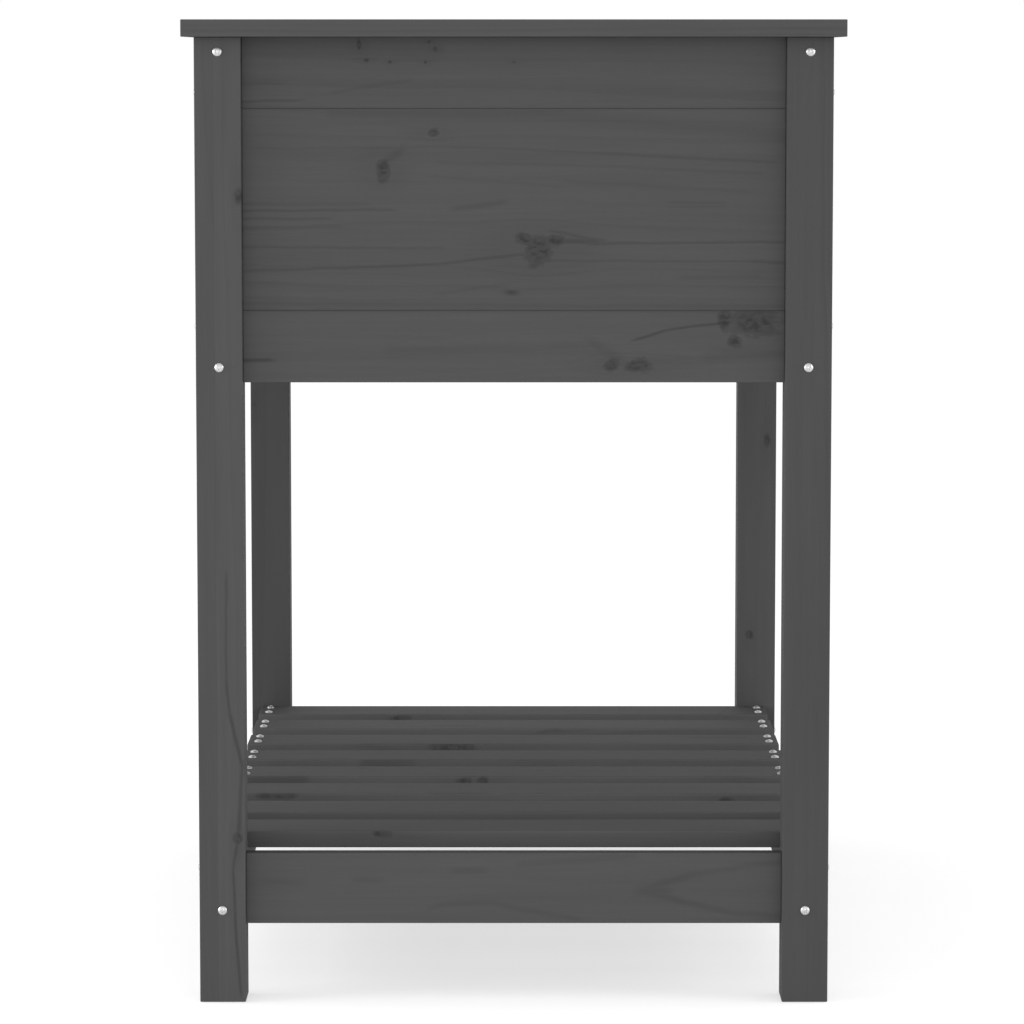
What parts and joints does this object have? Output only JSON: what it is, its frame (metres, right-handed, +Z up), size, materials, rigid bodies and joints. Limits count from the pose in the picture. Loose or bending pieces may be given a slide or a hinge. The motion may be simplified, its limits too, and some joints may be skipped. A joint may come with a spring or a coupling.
{
  "type": "potting bench",
  "caption": "Free-standing potting bench: a deep open trough of horizontal boards under a flat rim, square legs and a slatted shelf on low rails.",
  "frame": {"origin": "on the ground, under the middle of the bench", "axes": "+X along the bench from its left end to its right end, +Y across it from front to back, +Z up"},
  "size_m": [0.825, 0.54, 0.81],
  "materials": {
    "stained_pine": "solid pine with an even dark grey stain, matt, grain and knots showing through",
    "zinc_screws": "bright zinc-plated steel with a cross recess"
  },
  "bodies": {
    "root": {"back_batten_1": "stained_pine", "back_batten_2": "stained_pine", "back_rail": "stained_pine", "back_wall_lower_board": "stained_pine", "back_wall_middle_board": "stained_pine", "back_wall_upper_board": "stained_pine", "batten_screws": "zinc_screws", "bearer_screws": "zinc_screws", "floor_bearer_back": "stained_pine", "floor_bearer_front": "stained_pine", "floor_board_1": "stained_pine", "floor_board_10": "stained_pine", "floor_board_11": "stained_pine", "floor_board_2": "stained_pine", "floor_board_3": "stained_pine", "floor_board_4": "stained_pine", "floor_board_5": "stained_pine", "floor_board_6": "stained_pine", "floor_board_7": "stained_pine", "floor_board_8": "stained_pine", "floor_board_9": "stained_pine", "floor_screws": "zinc_screws", "front_batten_1": "stained_pine", "front_batten_2": "stained_pine", "front_rail": "stained_pine", "front_wall_lower_board": "stained_pine", "front_wall_middle_board": "stained_pine", "front_wall_upper_board": "stained_pine", "left_batten": "stained_pine", "left_rail": "stained_pine", "left_wall_lower_board": "stained_pine", "left_wall_middle_board": "stained_pine", "left_wall_upper_board": "stained_pine", "leg_back_left": "stained_pine", "leg_back_right": "stained_pine", "leg_front_left": "stained_pine", "leg_front_right": "stained_pine", "leg_screws_ends": "zinc_screws", "leg_screws_sides": "zinc_screws", "right_batten": "stained_pine", "right_rail": "stained_pine", "right_wall_lower_board": "stained_pine", "right_wall_middle_board": "stained_pine", "right_wall_upper_board": "stained_pine", "rim_back": "stained_pine", "rim_front": "stained_pine", "rim_left": "stained_pine", "rim_right": "stained_pine", "rim_screws": "zinc_screws", "shelf_screws": "zinc_screws", "shelf_slat_1": "stained_pine", "shelf_slat_2": "stained_pine", "shelf_slat_3": "stained_pine", "shelf_slat_4": "stained_pine", "shelf_slat_5": "stained_pine", "shelf_slat_6": "stained_pine", "shelf_slat_7": "stained_pine", "shelf_slat_8": "stained_pine"}
  },
  "joints": []
}
